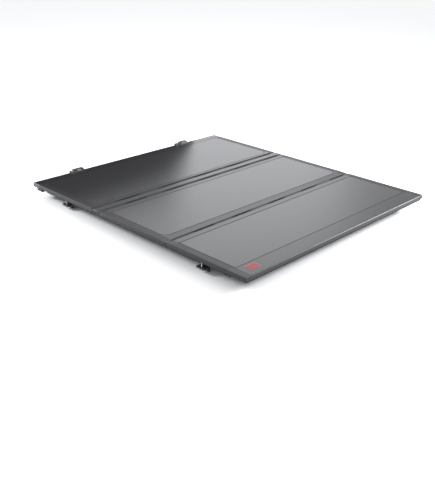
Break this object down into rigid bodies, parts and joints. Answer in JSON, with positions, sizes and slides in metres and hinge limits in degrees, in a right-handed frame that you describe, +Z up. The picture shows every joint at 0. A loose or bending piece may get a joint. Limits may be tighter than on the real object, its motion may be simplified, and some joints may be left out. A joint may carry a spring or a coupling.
{
  "type": "tonneau cover",
  "caption": "Hard folding tonneau cover with framed sandwich panels, fold hinges, flip-up front hinges, clamped bed rails, latches and prop rods.",
  "frame": {"origin": "centre of the base: midway across the cover, midway along it, on the plane of the clamps' feet", "axes": "+X to the right of the truck, +Y towards the cab, +Z up"},
  "size_m": [1.6, 1.84, 0.115],
  "materials": {
    "textured_skin": "matte black powder coat with a fine leather-like texture",
    "frame_coat": "satin black powder coat on extruded aluminium",
    "corner_plastic": "moulded black nylon, fine grain",
    "foam_core": "rigid foam",
    "underside_sheet": "thin black coated sheet",
    "seal_rubber": "black foam rubber",
    "bracket_metal": "black powder coat on cast aluminium",
    "latch_plastic": "glass-filled black nylon",
    "zinc_steel": "zinc-plated steel",
    "rod_steel": "black-coated steel rod"
  },
  "bodies": {
    "bed_mount": {"header_rail": "frame_coat", "left_bed_rail": "frame_coat", "left_flip_bracket": "bracket_metal", "left_flip_hinge_pin": "zinc_steel", "rear_left_clamp": "bracket_metal", "front_left_clamp": "bracket_metal", "right_bed_rail": "frame_coat", "right_flip_bracket": "bracket_metal", "right_flip_hinge_pin": "zinc_steel", "rear_right_clamp": "bracket_metal", "front_right_clamp": "bracket_metal"},
    "rear_left_clamp_screw": {"rear_left_clamp_bolt": "zinc_steel"},
    "front_left_clamp_screw": {"front_left_clamp_bolt": "zinc_steel"},
    "rear_right_clamp_screw": {"rear_right_clamp_bolt": "zinc_steel"},
    "front_right_clamp_screw": {"front_right_clamp_bolt": "zinc_steel"},
    "front_panel": {"front_panel_skin": "textured_skin", "front_panel_core": "foam_core", "front_panel_underside_sheet": "underside_sheet", "front_panel_front_rail": "frame_coat", "front_panel_rear_rail": "frame_coat", "front_panel_left_rail": "frame_coat", "front_panel_right_rail": "frame_coat", "front_panel_rear_left_corner": "corner_plastic", "front_panel_rear_right_corner": "corner_plastic", "left_flip_hinge_leaf": "bracket_metal", "right_flip_hinge_leaf": "bracket_metal", "link_front_hinge_pin": "zinc_steel"},
    "hinge_link": {"hinge_link_strip": "frame_coat", "link_rear_hinge_pin": "zinc_steel"},
    "middle_panel": {"middle_panel_skin": "textured_skin", "middle_panel_core": "foam_core", "middle_panel_underside_sheet": "underside_sheet", "middle_panel_front_rail": "frame_coat", "middle_panel_rear_rail": "frame_coat", "middle_panel_left_rail": "frame_coat", "middle_panel_right_rail": "frame_coat", "middle_panel_front_left_corner": "corner_plastic", "middle_panel_front_right_corner": "corner_plastic", "middle_panel_rear_left_corner": "corner_plastic", "middle_panel_rear_right_corner": "corner_plastic", "rear_fold_hinge_pin": "zinc_steel"},
    "rear_panel": {"rear_panel_skin": "textured_skin", "rear_panel_core": "foam_core", "rear_panel_underside_sheet": "underside_sheet", "rear_panel_front_rail": "frame_coat", "rear_panel_rear_rail": "frame_coat", "rear_panel_left_rail": "frame_coat", "rear_panel_right_rail": "frame_coat", "rear_panel_front_left_corner": "corner_plastic", "rear_panel_front_right_corner": "corner_plastic", "rear_panel_rear_left_corner": "corner_plastic", "rear_panel_rear_right_corner": "corner_plastic", "tailgate_seal": "seal_rubber", "left_latch_housing": "latch_plastic", "right_latch_housing": "latch_plastic"},
    "left_latch": {"left_latch_bolt": "zinc_steel"},
    "left_prop": {"left_prop_rod": "rod_steel"},
    "right_latch": {"right_latch_bolt": "zinc_steel"},
    "right_prop": {"right_prop_rod": "rod_steel"}
  },
  "joints": [
    {"name": "flip_up", "type": "hinge", "parent": "bed_mount", "child": "front_panel", "pos_m": [0, 0.886, 0.108], "axis": [-1, 0, 0], "range_deg": [0, 80]},
    {"name": "link_fold", "type": "hinge", "parent": "front_panel", "child": "hinge_link", "pos_m": [0, 0.267, 0.1008], "axis": [-1, 0, 0], "range_deg": [0, 90]},
    {"name": "middle_fold", "type": "hinge", "parent": "hinge_link", "child": "middle_panel", "pos_m": [0, 0.201, 0.1008], "axis": [-1, 0, 0], "range_deg": [0, 90]},
    {"name": "rear_fold", "type": "hinge", "parent": "middle_panel", "child": "rear_panel", "pos_m": [0, -0.364, 0.1008], "axis": [-1, 0, 0], "range_deg": [0, 180]},
    {"name": "left_prop_swing", "type": "hinge", "parent": "front_panel", "child": "left_prop", "pos_m": [-0.71, 0.656, 0.067], "axis": [1, 0, 0], "range_deg": [0, 129.8]},
    {"name": "left_latch_slide", "type": "slide", "parent": "rear_panel", "child": "left_latch", "axis": [1, 0, 0], "range_m": [0, 0.025], "stiffness_N_per_m": 400, "springref_m": -0.02},
    {"name": "right_prop_swing", "type": "hinge", "parent": "front_panel", "child": "right_prop", "pos_m": [0.71, 0.656, 0.067], "axis": [1, 0, 0], "range_deg": [0, 129.8]},
    {"name": "right_latch_slide", "type": "slide", "parent": "rear_panel", "child": "right_latch", "axis": [-1, 0, 0], "range_m": [0, 0.025], "stiffness_N_per_m": 400, "springref_m": -0.02},
    {"name": "rear_left_clamp_travel", "type": "slide", "parent": "bed_mount", "child": "rear_left_clamp_screw", "axis": [0, 0, -1], "range_m": [0, 0.008]},
    {"name": "front_left_clamp_travel", "type": "slide", "parent": "bed_mount", "child": "front_left_clamp_screw", "axis": [0, 0, -1], "range_m": [0, 0.008]},
    {"name": "rear_right_clamp_travel", "type": "slide", "parent": "bed_mount", "child": "rear_right_clamp_screw", "axis": [0, 0, -1], "range_m": [0, 0.008]},
    {"name": "front_right_clamp_travel", "type": "slide", "parent": "bed_mount", "child": "front_right_clamp_screw", "axis": [0, 0, -1], "range_m": [0, 0.008]}
  ]
}
